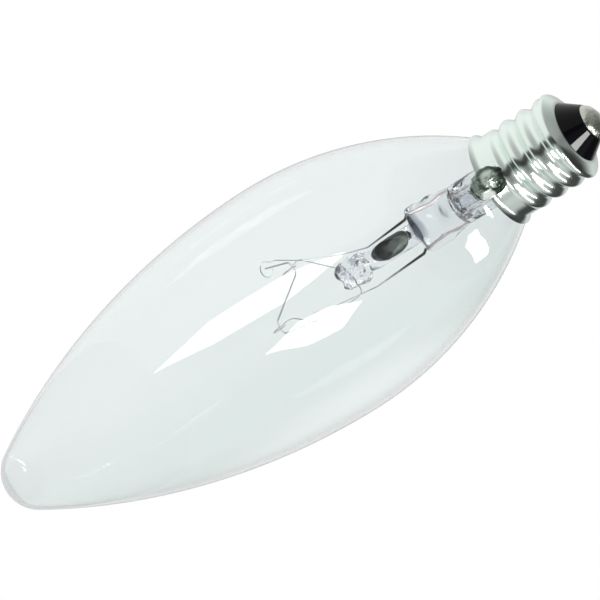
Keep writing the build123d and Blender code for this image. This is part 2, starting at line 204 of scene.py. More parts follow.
def ease(low, high, value):
    """Share from 0 at low to 1 at high, with a soft start and end."""
    t = min(max((value - low) / (high - low), 0.0), 1.0)
    return t * t * (3 - 2 * t)


def lumpy(point, lumps, share=1.0):
    """Point moved by slow noise, as solder and hot glass set. Lumps are a height and a scale."""
    height, scale = lumps
    drift = noise.noise_vector(Vector(point) * scale)
    return Vector(point) + drift * (height * share)


def sharpen(obj, degrees=40):
    """Keep the edges of a turned piece crisp."""
    obj.data.set_sharp_from_angle(angle=math.radians(degrees))


def dress(obj, *replaced):
    """Let a piece stand for CAD nodes and ride on the lamp's one body."""
    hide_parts(*replaced)
    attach(obj, "root")
    return obj


# Blown glass, five tangent arcs outside and in
def glass_outline(inset):
    """Half section of the glass from its tip to the neck, moved in by an inset."""
    tip_rise = TIP_TO_WIDEST - TIP_RADIUS
    side = (WIDEST**2 - TIP_RADIUS**2 + tip_rise**2) / (2 * (WIDEST - TIP_RADIUS))
    tip_angle = math.atan2(tip_rise, side - WIDEST)
    roll_in = ROLL_RADIUS * (math.cos(SHOULDER) - math.cos(ROLL))
    shoulder = (WIDEST - GLASS_AT_RIM - roll_in) / (1 - math.cos(SHOULDER))
    roll_x = WIDEST - shoulder + (shoulder - ROLL_RADIUS) * math.cos(SHOULDER)
    roll_z = RIM_Z - ROLL_RADIUS * math.sin(ROLL)
    widest_z = roll_z - (shoulder - ROLL_RADIUS) * math.sin(SHOULDER)
    tip_z = widest_z - TIP_TO_WIDEST
    cove = (GLASS_AT_RIM - NECK) / (1 - math.cos(ROLL))
    cove_z = RIM_Z + cove * math.sin(ROLL)
    outline = [(POLE, tip_z + inset)]
    outline += arc(0, tip_z + TIP_RADIUS, TIP_RADIUS - inset, -math.pi / 2, -tip_angle, steps=16)
    outline += arc(WIDEST - side, widest_z, side - inset, -tip_angle, 0, steps=48)
    outline += arc(WIDEST - shoulder, widest_z, shoulder - inset, 0, SHOULDER, steps=40)
    outline += arc(roll_x, roll_z, ROLL_RADIUS - inset, SHOULDER, ROLL, steps=8)
    outline += arc(NECK + cove, cove_z, cove + inset, math.pi + ROLL, math.pi, steps=14)
    return outline + [(NECK - inset, NECK_END_Z)]


glass_section = glass_outline(0.0) + glass_outline(GLASS_WALL)[::-1]
glass = lathe("glass_envelope_smooth", glass_section, GLASS_STEPS, closed=False)
dress(glass, "glass_envelope")

# Screw shell with its rolled thread as one smooth skin
THREAD_FADE = 0.35
COLLAR_FADE_BELOW = 0.5
COLLAR_FADE_ABOVE = 0.3
COLLAR_SWEEP = math.radians(60)
LIP_FLAT = 0.2
LIP_ROLL = 0.45
LIP_DROP = 0.1
WALL_ROWS = 110


def shell_radius(z, share):
    """Outside of the shell at a height, at a share of the turn."""
    rise = z - RIM_Z
    ridge = (rise - THREAD_START) / PITCH - (share - THREAD_PHASE)
    thread = VALLEY + (CREST - VALLEY) * (0.5 + 0.5 * math.cos(math.tau * ridge))
    flare = max(1 - rise / FLARE_HEIGHT, 0.0)
    plain = BAND_RADIUS + (RIM_RADIUS - BAND_RADIUS) * flare**2
    body = plain + (thread - plain) * ease(BAND_HEIGHT - THREAD_FADE, BAND_HEIGHT + THREAD_FADE, rise)
    collar_z = COLLAR_TOP_Z - COLLAR_HEIGHT
    collar = ease(collar_z - COLLAR_FADE_BELOW, collar_z + COLLAR_FADE_ABOVE, z)
    return body + (COLLAR_RADIUS - body) * collar


def shell_row(z):
    """Row of points round the outside of the shell at a height."""
    row = []
    for k in range(CAP_STEPS):
        radius = shell_radius(z, k / CAP_STEPS)
        angle = math.tau * k / CAP_STEPS
        row.append((radius * math.cos(angle), radius * math.sin(angle), z))
    return row


wall_top_z = COLLAR_TOP_Z - COLLAR_ROUND
lip_low_z = SHELL_END_Z - LIP_DEPTH
band_bore = BAND_RADIUS - SHEET
band_top_z = RIM_Z + BAND_HEIGHT - SHEET
shell_rows = [shell_row(RIM_Z + (wall_top_z - RIM_Z) * i / WALL_ROWS) for i in range(WALL_ROWS + 1)]
shell_turned = arc(COLLAR_RADIUS - COLLAR_ROUND, wall_top_z, COLLAR_ROUND, 0, COLLAR_SWEEP, steps=6)
shell_turned += [
    (LIP + LIP_ROLL, SHELL_END_Z - LIP_DROP),
    (LIP + LIP_FLAT, SHELL_END_Z),
    (LIP, SHELL_END_Z),
    (LIP, lip_low_z),
    (BORE, lip_low_z),
    (BORE, band_top_z),
    (band_bore, band_top_z),
    (band_bore, RIM_Z + FLARE_HEIGHT),
    (RIM_RADIUS - SHEET, RIM_Z),
]
shell_rows += [turn(r, z, CAP_STEPS) for r, z in shell_turned]
shell = skin("screw_shell_smooth", shell_rows)
sharpen(shell)
dress(shell, "screw_shell")

# Black glass insulator with its conical nose
NOSE_INSET = 0.25
NOSE_ROUND = 0.3
NOSE_SLOPE = math.radians(25)
plate_z = NOSE_Z - PLATE_THICKNESS
insulator_outline = [
    (BORE, INSULATOR_Z),
    (BORE, lip_low_z),
    (LIP, lip_low_z),
    (LIP, SHELL_END_Z),
]
nose_x = NOSE_RADIUS - NOSE_INSET
insulator_outline += arc(nose_x, NOSE_Z - NOSE_ROUND, NOSE_ROUND, NOSE_SLOPE, math.pi / 2, steps=8)
insulator_outline += [
    (PLATE_RADIUS, NOSE_Z),
    (PLATE_RADIUS, plate_z),
    (EYELET_RADIUS, plate_z),
    (EYELET_RADIUS, INSULATOR_Z),
]
insulator = lathe("insulator_smooth", insulator_outline, PLAIN_STEPS)
sharpen(insulator, degrees=20)
dress(insulator, "insulator")

# Solder on the contact, a lumpy dome
DOME_LUMPS = (0.14, 0.9)
DOME_END = math.radians(89.5)
dome_radius = (CONTACT_RADIUS**2 + CONTACT_HEIGHT**2) / (2 * CONTACT_HEIGHT)
dome_edge = math.acos(CONTACT_RADIUS / dome_radius)
dome_outline = [(CONTACT_RADIUS, NOSE_Z)]
dome_outline += arc(0, -dome_radius, dome_radius, dome_edge, DOME_END, steps=24)
dome_rows = []
for r, z in dome_outline:
    share = math.sin(math.pi * (z - NOSE_Z) / CONTACT_HEIGHT)
    dome_rows.append([lumpy(p, DOME_LUMPS, share) for p in turn(r, z, SMALL_STEPS)])
dome = skin("centre_solder_dome", dome_rows, closed=False)
dress(dome, "centre_solder")

# Solder at the side, a lumpy egg over the rim
BLOB_HALF_WIDTH = 1.9
BLOB_HALF_HEIGHT = 2.5
BLOB_DEPTH = 1.6
BLOB_SINK = 0.15
BLOB_RISE = 0.55
BLOB_LUMPS = (0.3, 0.8)
BLOB_FINE_LUMPS = (0.16, 2.0)
BLOB_END = math.radians(89)
BLOB_ROWS = 32
blob_out = Vector((math.cos(SOLDER_AZIMUTH), math.sin(SOLDER_AZIMUTH), 0))
blob_side = Vector((-math.sin(SOLDER_AZIMUTH), math.cos(SOLDER_AZIMUTH), 0))
blob_centre = blob_out * (BAND_RADIUS - BLOB_SINK) + UP * (RIM_Z + BLOB_RISE)


def by_blob(out, along, rise):
    """Place by its steps from the blob's centre: out of the cap, along the rim and up."""
    return blob_centre + blob_out * out + blob_side * along + UP * rise


blob_rows = []
for i in range(BLOB_ROWS + 1):
    tilt = BLOB_END * (2 * i / BLOB_ROWS - 1)
    row = []
    for k in range(SMALL_STEPS):
        angle = math.tau * k / SMALL_STEPS
        out = BLOB_DEPTH * math.cos(tilt) * math.cos(angle)
        along = BLOB_HALF_WIDTH * math.cos(tilt) * math.sin(angle)
        spot = by_blob(out, along, BLOB_HALF_HEIGHT * math.sin(tilt))
        row.append(lumpy(lumpy(spot, BLOB_LUMPS), BLOB_FINE_LUMPS))
    blob_rows.append(row)
blob = skin("side_solder_blob", blob_rows, closed=False)
dress(blob, "side_solder")

# Stem: a flat press with soft corners that opens into the round tube
PRESS_END_ROUND = 0.5
PRESS_ROUNDNESS = 0.5
PRESS_LUMPS = (0.32, 0.6)
OPENING_BELOW_TOP = 0.8
OPENING_PAST_TUBE_END = 0.4
END_ROWS = 8
FLAT_ROWS = 6
OPENING_ROWS = 16
# Inset and rise of the rounded floor in the tube
TUBE_FLOOR = ((0.0, 1.0), (0.3, 0.4), (1.0, 0.05))
TUBE_FLOOR_RADIUS = 0.2


def oval(half_width, half_depth, roundness, z):
    """Row of points of a soft oblong, sharp at a roundness of 0 and an ellipse at 1."""
    row = []
    for k in range(STEM_STEPS):
        angle = math.tau * k / STEM_STEPS
        across = math.copysign(abs(math.cos(angle)) ** roundness, math.cos(angle))
        deep = math.copysign(abs(math.sin(angle)) ** roundness, math.sin(angle))
        row.append((half_width * across, half_depth * deep, z))
    return row


half_width = PRESS_WIDTH / 2
half_depth = PRESS_THICKNESS / 2
flat_z = PRESS_END_Z + PRESS_END_ROUND
opening_z = PRESS_TOP_Z - OPENING_BELOW_TOP
opening_height = TUBE_END_Z + OPENING_PAST_TUBE_END - opening_z
stem_rows = []
for i in range(END_ROWS + 1):
    angle = math.pi / 2 * i / END_ROWS
    inset = PRESS_END_ROUND * (1 - math.sin(angle))
    z = PRESS_END_Z + PRESS_END_ROUND * (1 - math.cos(angle))
    row = oval(half_width - inset, half_depth - inset, PRESS_ROUNDNESS, z)
    stem_rows.append([lumpy(p, PRESS_LUMPS) for p in row])
for i in range(1, FLAT_ROWS):
    z = flat_z + (opening_z - flat_z) * i / FLAT_ROWS
    row = oval(half_width, half_depth, PRESS_ROUNDNESS, z)
    stem_rows.append([lumpy(p, PRESS_LUMPS) for p in row])
for i in range(OPENING_ROWS + 1):
    share = ease(0, 1, i / OPENING_ROWS)
    width = half_width + (TUBE_RADIUS - half_width) * share
    depth = half_depth + (TUBE_RADIUS - half_depth) * share
    z = opening_z + opening_height * i / OPENING_ROWS
    row = oval(width, depth, PRESS_ROUNDNESS + (1 - PRESS_ROUNDNESS) * share, z)
    stem_rows.append([lumpy(p, PRESS_LUMPS, 1 - share) for p in row])
flange_z = NECK_END_Z + STEM_WALL
tube_bore = TUBE_RADIUS - STEM_WALL
stem_turned = [
    (TUBE_RADIUS, NECK_END_Z - TRUMPET_HEIGHT),
    (TUBE_RADIUS + TRUMPET_WIDTH, NECK_END_Z),
    (NECK, NECK_END_Z),
    (NECK, flange_z),
    (tube_bore, flange_z),
]
stem_turned += [(tube_bore - inset, TUBE_END_Z + rise) for inset, rise in TUBE_FLOOR]
stem_turned += [(TUBE_FLOOR_RADIUS, TUBE_END_Z)]
stem_rows += [turn(r, z, STEM_STEPS) for r, z in stem_turned]
stem = skin("stem_smooth", stem_rows, closed=False)
sharpen(stem, degrees=60)
dress(stem, "stem_flare")

# Arbor rod with its lumpy button, hollowed by the exhaust mouth
ARBOR_ROWS = 20
BUTTON_LUMPS = (0.55, 0.85)
LUMPS_START_Z = BUTTON_Z + 3.1
LUMPS_FULL_Z = BUTTON_Z + 1.6
MOUTH_SWEEP = math.radians(20)
# Radius and rise of the mouth's narrowing sides
MOUTH_SIDES = ((0.78, 1.9), (0.66, 2.7))
MOUTH_END_RADIUS = 0.05
MOUTH_END_HEIGHT = 0.25
button_low_z = BUTTON_Z - BUTTON_SHANK / 2
button_high_z = BUTTON_Z + BUTTON_SHANK / 2
button_sweep = math.acos(ARBOR_RADIUS / BUTTON_RADIUS)
rod_end_z = PRESS_END_Z - ROD_LENGTH
arbor_outline = [(POLE, button_low_z - BUTTON_RADIUS)]
arbor_outline += arc(0, button_low_z, BUTTON_RADIUS, -math.pi / 2, 0, steps=14)
arbor_outline += arc(0, button_high_z, BUTTON_RADIUS, 0, button_sweep, steps=8)
arbor_outline += [(ARBOR_RADIUS, rod_end_z + ROD_LENGTH * i / ARBOR_ROWS) for i in range(ARBOR_ROWS + 1)]
arbor_rows = []
for r, z in arbor_outline:
    share = ease(LUMPS_START_Z, LUMPS_FULL_Z, z)
    arbor_rows.append([lumpy(p, BUTTON_LUMPS, share) for p in turn(r, z, SMALL_STEPS)])
arbor = skin("arbor_smooth", arbor_rows, closed=False)
mouth_outline = [(POLE, MOUTH_Z - MOUTH_RADIUS)]
mouth_outline += arc(0, MOUTH_Z, MOUTH_RADIUS, -math.pi / 2, MOUTH_SWEEP, steps=14)
mouth_outline += [(radius, MOUTH_Z + rise) for radius, rise in MOUTH_SIDES]
mouth_outline += [(MOUTH_TAIL_RADIUS, MOUTH_TAIL_Z), (MOUTH_END_RADIUS, MOUTH_TAIL_Z + MOUTH_END_HEIGHT)]
mouth_rows = [turn(r, z, MOUTH_STEPS, MOUTH_SIDE, -MOUTH_SHIFT) for r, z in mouth_outline]
mouth = skin("mouth", mouth_rows, closed=False)
hollow = arbor.modifiers.new("hollow", "BOOLEAN")
hollow.operation = "DIFFERENCE"
hollow.object = mouth
hollow.solver = "EXACT"
arbor_mesh = finished_mesh(arbor)
arbor.modifiers.clear()
arbor.data = arbor_mesh
arbor.data.shade_smooth()
sharpen(arbor, degrees=50)
bpy.data.objects.remove(mouth)
dress(arbor, "arbor_rod")

# Round wires
LEAD_THIN_SHARE = 0.45
LEAD_THIN_LENGTH = 10
LEAD_START = 0.3
LEAD_STRAIGHT = 0.8
LEAD_BEND = 1.5
CLAMP_BEND = 0.8
CLAMP_ROUND = 0.9
SUPPORT_ROUND = 0.45
HOOK_CLEARANCE = 0.06
HOOK_APPROACH = 1.2
HOOK_RISE = 0.6


def bent(route, bends, steps=8):
    """Route with each corner rounded by an arc."""
    points = [route[0]]
    for before, corner, after, radius in zip(route, route[1:], route[2:], bends):
        back = (before - corner).normalized()
        onward = (after - corner).normalized()
        half = back.angle(onward) / 2
        inward = (back + onward).normalized()
        centre = corner + inward * (radius / math.sin(half))
        start = corner + back * (radius / math.tan(half)) - centre
        end = corner + onward * (radius / math.tan(half)) - centre
        for i in range(steps + 1):
            points.append(centre + start.slerp(end, i / steps))
    return points + [route[-1]]


def wire_object(name, points, diameter, resolution=3, thin=1.0):
    """Round wire through points, as a mesh that thins to a share of its diameter below the press."""
    curve = bpy.data.curves.new(name, "CURVE")
    curve.dimensions = "3D"
    curve.bevel_depth = diameter / 2 * MM
    curve.bevel_resolution = resolution
    curve.use_fill_caps = True
    spline = curve.splines.new("POLY")
    spline.points.add(len(points) - 1)
    for spot, p in zip(spline.points, points):
        spot.co = (p[0] * MM, p[1] * MM, p[2] * MM, 1)
        spot.radius = 1 - (1 - thin) * ease(PRESS_END_Z, PRESS_END_Z - LEAD_THIN_LENGTH, p[2])
    source = bpy.data.objects.new(name, curve)
    scene.collection.objects.link(source)
    mesh = finished_mesh(source)
    bpy.data.objects.remove(source)
    mesh.name = name
    return add_object(name, mesh)


def below_press(way):
    """Points of a way that is given by its drops below the press."""
    return [Vector((x, y, PRESS_END_Z - drop)) for x, y, drop in way]


side_run = (UPPER_TURN - SIDE_CLAMP).normalized()
centre_run = (LOWER_TURN - CENTRE_CLAMP).normalized()
clamp = (LEAD_DIAMETER + COIL_DIAMETER) / 2 + HOOK_CLEARANCE
clamp_bends = [CLAMP_BEND, CLAMP_ROUND * clamp, CLAMP_ROUND * clamp]
leads = []
for name, side, end, run, way in (
    ("inner_lead_side", -1, SIDE_CLAMP, side_run, SIDE_LEAD_WAY),
    ("inner_lead_centre", 1, CENTRE_CLAMP, centre_run, CENTRE_LEAD_WAY),
):
    low = Vector((side * LEAD_SPACING / 2, 0, PRESS_END_Z))
    up = (Vector((side * TUBE_SPACING / 2, 0, TUBE_END_Z)) - low).normalized()
    across = run.copy()
    across.rotate(Matrix.Rotation(math.radians(-90 * side), 3, "Z"))
    start = low - up * LEAD_START
    route = [start, start - up * LEAD_STRAIGHT] + below_press(way)
    route += [
        end + across * clamp + UP * HOOK_APPROACH,
        end + across * clamp - UP * clamp,
        end - across * clamp - UP * clamp,
        end - across * clamp + UP * HOOK_RISE,
    ]
    corners = len(route) - 2
    bends = [LEAD_BEND] * (corners - len(clamp_bends)) + clamp_bends
    lead = wire_object(name + "_round", bent(route, bends), LEAD_DIAMETER, thin=LEAD_THIN_SHARE)
    leads.append(dress(lead, name))

bend = (SUPPORT_DIAMETER + COIL_DIAMETER) / 2 + HOOK_CLEARANCE
hook_gap = SUPPORT_DIAMETER / 2 + HOOK_CLEARANCE
hook_width = bend + COIL_DIAMETER / 2 + hook_gap
hook_drop = COIL_DIAMETER / 2 + hook_gap + hook_width / 2
supports = []
for name, before, corner, after, way in (
    ("support_hook_upper", SIDE_CLAMP, UPPER_TURN, LOWER_TURN, UPPER_SUPPORT_WAY),
    ("support_hook_lower", UPPER_TURN, LOWER_TURN, CENTRE_CLAMP, LOWER_SUPPORT_WAY),
):
    first = (before - corner).normalized()
    second = (after - corner).normalized()
    inward = (first + second).normalized()
    centre = corner + inward * (bend / math.sin(first.angle(second) / 2))
    route = below_press(way) + [
        centre + UP * HOOK_APPROACH,
        centre - UP * hook_drop,
        centre - inward * hook_width - UP * hook_drop,
        centre - inward * hook_width + UP * HOOK_RISE,
    ]
    corners = len(route) - 2
    points = bent(route, [SUPPORT_ROUND * hook_width] * corners)
    support = wire_object(name + "_round", points, SUPPORT_DIAMETER)
    supports.append(dress(support, name))

# Coiled filament over its four points
COIL_STEPS = 8
strand = bent(
    [SIDE_CLAMP - side_run * COIL_TAIL, UPPER_TURN, LOWER_TURN, CENTRE_CLAMP - centre_run * COIL_TAIL],
    [bend, bend],
)
coil_radius = (COIL_DIAMETER - COIL_WIRE) / 2
coil_points = []
angle = 0.0
for start, end in zip(strand, strand[1:]):
    run = end - start
    side = run.cross(UP).normalized()
    count = max(round(run.length / COIL_PITCH * COIL_STEPS), 1)
    for i in range(count):
        angle += math.tau / COIL_STEPS
        offset = side * coil_radius * math.cos(angle) + UP * coil_radius * math.sin(angle)
        coil_points.append(start + run * (i / count) + offset)
coil = dress(wire_object("filament_coil", coil_points, COIL_WIRE, resolution=1), "filament")

# Material nodes
UNIT = (0.0, 1.0)
GRAIN_DETAIL = 3
RELIEF_DEPTH = 0.2
# Detail and span of the noise for spots of painted shade
SPOT_SHADE_DETAIL = 2
SPOT_SHADE_SPAN = (0.53, 0.62)


def feed(tree, value, socket):
    """Link a socket to another, or set it to a number or a colour."""
    if isinstance(value, bpy.types.NodeSocket):
        tree.links.new(value, socket)
    elif isinstance(value, tuple):
        socket.default_value = (*value, 1)
    else:
        socket.default_value = value


def ranged(tree, value, source=UNIT, target=UNIT, shape="LINEAR"):
    """Value carried over from the source range to the target range."""
    span = tree.nodes.new("ShaderNodeMapRange")
    span.interpolation_type = shape
    for name, limit in zip(("From Min", "From Max", "To Min", "To Max"), (*source, *target)):
        span.inputs[name].default_value = limit
    feed(tree, value, span.inputs["Value"])
    return span.outputs["Result"]


def worked(tree, operation, first, second):
    """Result of a math operation on two values."""
    node = tree.nodes.new("ShaderNodeMath")
    node.operation = operation
    feed(tree, first, node.inputs[0])
    feed(tree, second, node.inputs[1])
    return node.outputs["Value"]


def mixed(tree, mask, first, second, kind="RGBA"):
    """Colour or number that goes from the first to the second with the mask."""
    mix = tree.nodes.new("ShaderNodeMix")
    mix.data_type = kind
    feed(tree, mask, mix.inputs["Factor"])
    feed(tree, first, mix.inputs["A"])
    feed(tree, second, mix.inputs["B"])
    return mix.outputs["Result"]


def axes(tree, space="Object"):
    """Place along X, Y and Z, in metres on an object or as the world's direction."""
    coords = tree.nodes.new("ShaderNodeTexCoord")
    split = tree.nodes.new("ShaderNodeSeparateXYZ")
    tree.links.new(coords.outputs[space], split.inputs["Vector"])
    return split.outputs


def grain(tree, scale, detail):
    """Fine noise that stays with the object."""
    coords = tree.nodes.new("ShaderNodeTexCoord")
    texture = tree.nodes.new("ShaderNodeTexNoise")
    texture.inputs["Scale"].default_value = scale
    texture.inputs["Detail"].default_value = detail
    tree.links.new(coords.outputs["Object"], texture.inputs["Vector"])
    return texture.outputs["Fac"]


def shader_of(mat):
    """Principled shader of a material."""
    return mat.node_tree.nodes["Principled BSDF"]


def material(
    name,
    colour,
    metallic=0.0,
    roughness=0.5,
    specular=0.5,
    glass=0.0,
    ior=1.5,
    bump=0.0,
    scale=400.0,
    spread=0.05,
):
    """Principled material whose roughness and surface can vary a little by noise."""
    mat = bpy.data.materials.new(name)
    mat.use_nodes = True
    tree = mat.node_tree
    shader = shader_of(mat)
    shader.inputs["Base Color"].default_value = (*colour, 1)
    shader.inputs["Metallic"].default_value = metallic
    shader.inputs["Roughness"].default_value = roughness
    shader.inputs["Specular IOR Level"].default_value = specular
    shader.inputs["IOR"].default_value = ior
    shader.inputs["Transmission Weight"].default_value = glass
    surface = grain(tree, scale, GRAIN_DETAIL)
    if spread > 0:
        wander = ranged(tree, surface, target=(max(roughness - spread, 0), roughness + spread))
        tree.links.new(wander, shader.inputs["Roughness"])
    if bump > 0:
        relief = tree.nodes.new("ShaderNodeBump")
        relief.inputs["Strength"].default_value = bump
        relief.inputs["Distance"].default_value = RELIEF_DEPTH * MM
        tree.links.new(surface, relief.inputs["Height"])
        tree.links.new(relief.outputs["Normal"], shader.inputs["Normal"])
    return mat


def axis_mask(mat, axis, low, high):
    """Mask from 0 at the low place along an axis to 1 at the high one."""
    tree = mat.node_tree
    return ranged(tree, axes(tree)[axis], (low * MM, high * MM), shape="SMOOTHSTEP")


def egg_mask(mat, centre, radii, inner, outer):
    """Mask that falls from 1 at the inner share of an egg's radii to 0 at the outer."""
    tree = mat.node_tree
    coords = tree.nodes.new("ShaderNodeTexCoord")
    place = tree.nodes.new("ShaderNodeMapping")
    place.vector_type = "TEXTURE"
    place.inputs["Location"].default_value = Vector(centre) * MM
    place.inputs["Scale"].default_value = Vector(radii) * MM
    reach = tree.nodes.new("ShaderNodeVectorMath")
    reach.operation = "LENGTH"
    tree.links.new(coords.outputs["Object"], place.inputs["Vector"])
    tree.links.new(place.outputs["Vector"], reach.inputs[0])
    return ranged(tree, reach.outputs["Value"], (outer, inner), shape="SMOOTHSTEP")


def spot_shade_mask(mat, scale, inside):
    """Mask of small spots of painted shade, kept to where another mask is 1."""
    tree = mat.node_tree
    shade_spots = ranged(tree, grain(tree, scale, SPOT_SHADE_DETAIL), SPOT_SHADE_SPAN, shape="SMOOTHSTEP")
    return worked(tree, "MULTIPLY", shade_spots, inside)


def blend_colours(mat, mask, first, second):
    """Base colour from the first where the mask is 0 to the second where it is 1."""
    tree = mat.node_tree
    tree.links.new(mixed(tree, mask, first, second), shader_of(mat).inputs["Base Color"])


def over_colour(mat, mask, colour):
    """Lay a colour over a blended base colour where the mask is 1."""
    below = shader_of(mat).inputs["Base Color"].links[0].from_socket
    blend_colours(mat, mask, below, colour)


def masked_value(mat, mask, socket, outside, inside):
    """Value of a socket that goes from outside to inside with the mask."""
    tree = mat.node_tree
    tree.links.new(ranged(tree, mask, target=(outside, inside)), shader_of(mat).inputs[socket])


# Materials, one for each slot of the record
CLEAR = (0.905, 0.935, 0.935)
STEM_CLEAR = (0.93, 0.935, 0.96)
SURFACES = {
    "clear_glass": dict(colour=CLEAR, glass=1.0, roughness=0.0, spread=0.0),
    "stem_glass": dict(
        colour=STEM_CLEAR, glass=1.0, roughness=0.0, ior=1.54, spread=0.0, bump=0.6, scale=600.0
    ),
    "lead_wire": dict(colour=(0.3, 0.3, 0.29), metallic=1.0, roughness=0.3),
    "support_wire": dict(colour=(0.72, 0.72, 0.72), metallic=1.0, roughness=0.35),
    "tungsten": dict(colour=(0.72, 0.72, 0.73), metallic=1.0, roughness=0.4),
    "copper": dict(colour=(0.74, 0.65, 0.63), metallic=1.0, roughness=0.35),
    "nickel": dict(colour=(0.815, 0.91, 0.855), metallic=1.0, roughness=0.16, bump=0.012, scale=500.0),
    "black_glass": dict(
        colour=(0.003, 0.003, 0.004), roughness=0.06, specular=0.2, bump=0.01, scale=500.0, spread=0.02
    ),
    "brass": dict(colour=(0.7, 0.52, 0.25), metallic=1.0, roughness=0.25),
    "solder": dict(colour=(0.62, 0.65, 0.6), metallic=1.0, roughness=0.28, bump=0.6, scale=1100.0),
    "cement": dict(colour=(0.5, 0.44, 0.35), roughness=0.9, bump=0.3, scale=2000.0),
}
looks = {name: material(name, **surface) for name, surface in SURFACES.items()}

# Clear glass with painted shade to one side and a painted reflection at that edge, each over a span along
# X
CLEAR_PAINTED_SHADE = (0.855, 0.9, 0.89)
CLEAR_SHADE_SPAN = (-4.0, 9.0)
CLEAR_PAINTED_REFLECTION = (0.96, 0.99, 0.985)
CLEAR_REFLECTION_SPAN = (10.5, 14.5)
glass_look = looks["clear_glass"]
blend_colours(glass_look, axis_mask(glass_look, "X", *CLEAR_SHADE_SPAN), CLEAR, CLEAR_PAINTED_SHADE)
over_colour(glass_look, axis_mask(glass_look, "X", *CLEAR_REFLECTION_SPAN), CLEAR_PAINTED_REFLECTION)

# Lead wires with a painted highlight toward the filament and painted shade toward the press, over a span
# along Z
LEAD_PAINTED_HIGHLIGHT = (0.78, 0.79, 0.79)
LEAD_PAINTED_SHADE = (0.05, 0.05, 0.05)
LEAD_SPAN = (PRESS_END_Z - 11.8, PRESS_END_Z - 2.8)
lead_look = looks["lead_wire"]
blend_colours(lead_look, axis_mask(lead_look, "Z", *LEAD_SPAN), LEAD_PAINTED_HIGHLIGHT, LEAD_PAINTED_SHADE)

# Stem glass with painted shade at the press end, spots of painted shade and painted shade at the end of
# the button, and painted shade lining the mouth, opaque and rough, with a lighter painted middle
PRESS_PAINTED_SHADE = (0.3, 0.32, 0.4)
SPOT_SHADE = (0.3, 0.3, 0.38)
SPOT_SHADE_SCALE = 900.0
BUTTON_SPAN = (BUTTON_Z + 2.7, BUTTON_Z + 1.7)
BUTTON_END_SHADE = (0.05, 0.05, 0.1)
MOUTH_PAINTED_SHADE = (0.006, 0.008, 0.007)
MOUTH_SHADE_ROUGHNESS = 0.4
MOUTH_PAINTED_LIGHT = (0.22, 0.26, 0.23)
# Eggs, each with a centre, radii, and the shares of them where its mask is full and where it ends
PRESS_SHADE_EGG = ((-0.6, 0, PRESS_END_Z + 0.3), (2.7, 3.0, 1.1), 0.6, 1.05)
BUTTON_END_SHADE_EGG = ((-1.4, -0.4, BUTTON_Z - 2.0), (1.2, 1.8, 0.75), 0.7, 1.0)
MOUTH_SHADE_EGG = ((MOUTH_SIDE, -MOUTH_SHIFT, MOUTH_Z + 1.2), (1.28, 1.3, 3.1), 1.0, 1.06)
MOUTH_LIGHT_EGG = ((MOUTH_SIDE + 0.1, -MOUTH_SHIFT, MOUTH_Z + 1.7), (0.95, 1.9, 2.6), 0.75, 1.0)
stem_look = looks["stem_glass"]
mouth_shade_mask = egg_mask(stem_look, *MOUTH_SHADE_EGG)
button_mask = axis_mask(stem_look, "Z", *BUTTON_SPAN)
blend_colours(stem_look, egg_mask(stem_look, *PRESS_SHADE_EGG), STEM_CLEAR, PRESS_PAINTED_SHADE)
over_colour(stem_look, spot_shade_mask(stem_look, SPOT_SHADE_SCALE, button_mask), SPOT_SHADE)
over_colour(stem_look, egg_mask(stem_look, *BUTTON_END_SHADE_EGG), BUTTON_END_SHADE)
over_colour(stem_look, mouth_shade_mask, MOUTH_PAINTED_SHADE)
over_colour(stem_look, egg_mask(stem_look, *MOUTH_LIGHT_EGG), MOUTH_PAINTED_LIGHT)
masked_value(stem_look, mouth_shade_mask, "Transmission Weight", 1.0, 0.0)
masked_value(stem_look, mouth_shade_mask, "Roughness", 0.0, MOUTH_SHADE_ROUGHNESS)

# Solder: the blob painted dark as shade, with painted light on its lower tail and on its face and a less
# metallic painted reflection at its foot, the contact bright
BLOB_TAIL_PAINTED_LIGHT = (0.26, 0.32, 0.27)
BLOB_PAINTED_SHADE = (0.06, 0.08, 0.06)
BLOB_TAIL_LIGHT_SPAN = (RIM_Z - 0.3, RIM_Z + 0.5)
BLOB_FACE_PAINTED_LIGHT = (0.46, 0.54, 0.48)
BLOB_FACE_LIGHT_EGG = (by_blob(1.3, -0.4, 0.9), (1.4, 1.2, 1.5), 0.5, 1.0)
BLOB_PAINTED_REFLECTION = (0.7, 0.76, 0.71)
BLOB_REFLECTION_METALLIC = 0.25
BLOB_REFLECTION_EGG = (by_blob(0.9, 1.35, -0.35), (1.0, 1.1, 1.1), 0.6, 1.0)
CONTACT_BRIGHT = (0.6, 0.63, 0.55)
CONTACT_SPAN = (-9.0, -7.0)
solder_look = looks["solder"]
blob_reflection_mask = egg_mask(solder_look, *BLOB_REFLECTION_EGG)
blend_colours(solder_look, axis_mask(solder_look, "Z", *BLOB_TAIL_LIGHT_SPAN), BLOB_TAIL_PAINTED_LIGHT, BLOB_PAINTED_SHADE)
over_colour(solder_look, egg_mask(solder_look, *BLOB_FACE_LIGHT_EGG), BLOB_FACE_PAINTED_LIGHT)
over_colour(solder_look, blob_reflection_mask, BLOB_PAINTED_REFLECTION)
masked_value(solder_look, blob_reflection_mask, "Metallic", 1.0, BLOB_REFLECTION_METALLIC)
over_colour(solder_look, axis_mask(solder_look, "Z", *CONTACT_SPAN), CONTACT_BRIGHT)

# Slots, first of the CAD nodes and then of the new pieces
for part in frame["record"]["subparts"]:
    mesh = nodes[part["node"]].data
    mesh.materials.clear()
    mesh.materials.append(looks[part["material_slot"]])
pieces = {glass: "clear_glass", shell: "nickel", insulator: "black_glass", dome: "solder", blob: "solder"}
pieces |= {stem: "stem_glass", arbor: "stem_glass", coil: "tungsten"}
pieces |= {lead: "lead_wire" for lead in leads}
pieces |= {support: "support_wire" for support in supports}
for piece, slot in pieces.items():
    piece.data.materials.clear()
    piece.data.materials.append(looks[slot])

